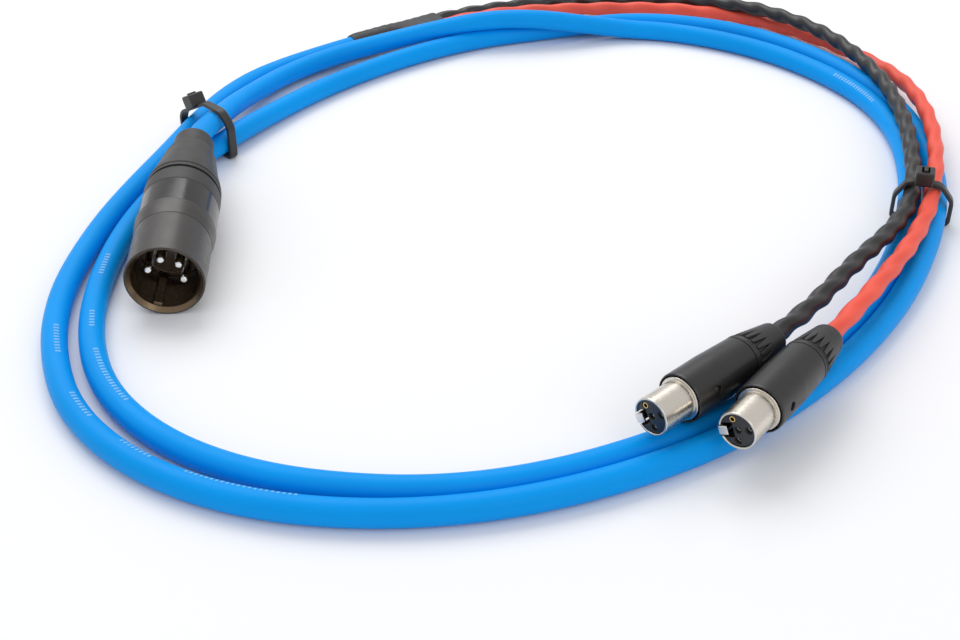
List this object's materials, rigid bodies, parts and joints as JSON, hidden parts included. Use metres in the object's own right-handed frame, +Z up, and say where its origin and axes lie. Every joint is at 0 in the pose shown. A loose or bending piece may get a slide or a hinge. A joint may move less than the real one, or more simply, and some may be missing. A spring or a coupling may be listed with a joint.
{
  "type": "xlr cable coil",
  "caption": "Coiled blue headphone cable held by zip ties, with a male XLR plug at one end and a black and a red leg to mini-XLR plugs.",
  "frame": {"origin": "centre of the bounding box on the surface that the coil lies on", "axes": "+Z up from the surface; +Y away from a viewer who has the two small plugs nearest and the XLR plug at the left; +X to the right"},
  "size_m": [0.2351, 0.2745, 0.0209],
  "materials": {
    "blue_pvc": "satin blue PVC jacket",
    "black_sleeve": "satin black PVC sleeve",
    "red_sleeve": "satin coral red PVC sleeve",
    "shrink_tube": "black heat-shrink tube, satin",
    "tie_nylon": "black nylon",
    "black_shell": "satin black plated metal",
    "nickel_shell": "satin nickel plate",
    "nickel_latch": "nickel plated spring steel",
    "contact_silver": "silver plated contact",
    "contact_gold": "gold plated contact",
    "black_insulator": "black moulded insulator",
    "black_bushing": "glossy black coding ring and bushing",
    "rubber_boot": "matte black rubber boot",
    "steel_screw": "steel set screw"
  },
  "bodies": {
    "cable": {"cable_coil": "blue_pvc", "cable_lead": "blue_pvc", "cable_tail": "blue_pvc", "split_sleeve": "shrink_tube", "leg_black": "black_sleeve", "leg_red": "red_sleeve", "tie_left": "tie_nylon", "tie_right": "tie_nylon", "xlr_shell": "black_shell", "xlr_insert": "black_insulator", "xlr_pin_1": "contact_silver", "xlr_pin_2": "contact_silver", "xlr_pin_3": "contact_silver", "xlr_pin_4": "contact_silver", "xlr_bushing": "black_bushing", "xlr_chuck": "black_insulator", "xlr_boot": "rubber_boot", "left_nose": "nickel_shell", "left_insert": "black_insulator", "left_contact_1": "contact_silver", "left_contact_2": "contact_gold", "left_contact_3": "contact_silver", "left_contact_4": "contact_silver", "left_barrel": "black_shell", "left_screw": "steel_screw", "left_clamp": "black_insulator", "left_boot": "rubber_boot", "right_nose": "nickel_shell", "right_insert": "black_insulator", "right_contact_1": "contact_silver", "right_contact_2": "contact_gold", "right_contact_3": "contact_silver", "right_contact_4": "contact_silver", "right_barrel": "black_shell", "right_screw": "steel_screw", "right_clamp": "black_insulator", "right_boot": "rubber_boot"},
    "left_latch": {"left_latch": "nickel_latch"},
    "right_latch": {"right_latch": "nickel_latch"}
  },
  "joints": [
    {"name": "left_latch_press", "type": "hinge", "parent": "cable", "child": "left_latch", "pos_m": [0.03586, -0.09397, 0.00989], "axis": [-0.3661, 0.3831, 0.848], "range_deg": [0, 2.5], "stiffness_Nm_per_rad": 0.8},
    {"name": "right_latch_press", "type": "hinge", "parent": "cable", "child": "right_latch", "pos_m": [0.04911, -0.0961, 0.01048], "axis": [-0.298, 0.227, 0.9272], "range_deg": [0, 2.5], "stiffness_Nm_per_rad": 0.8}
  ]
}
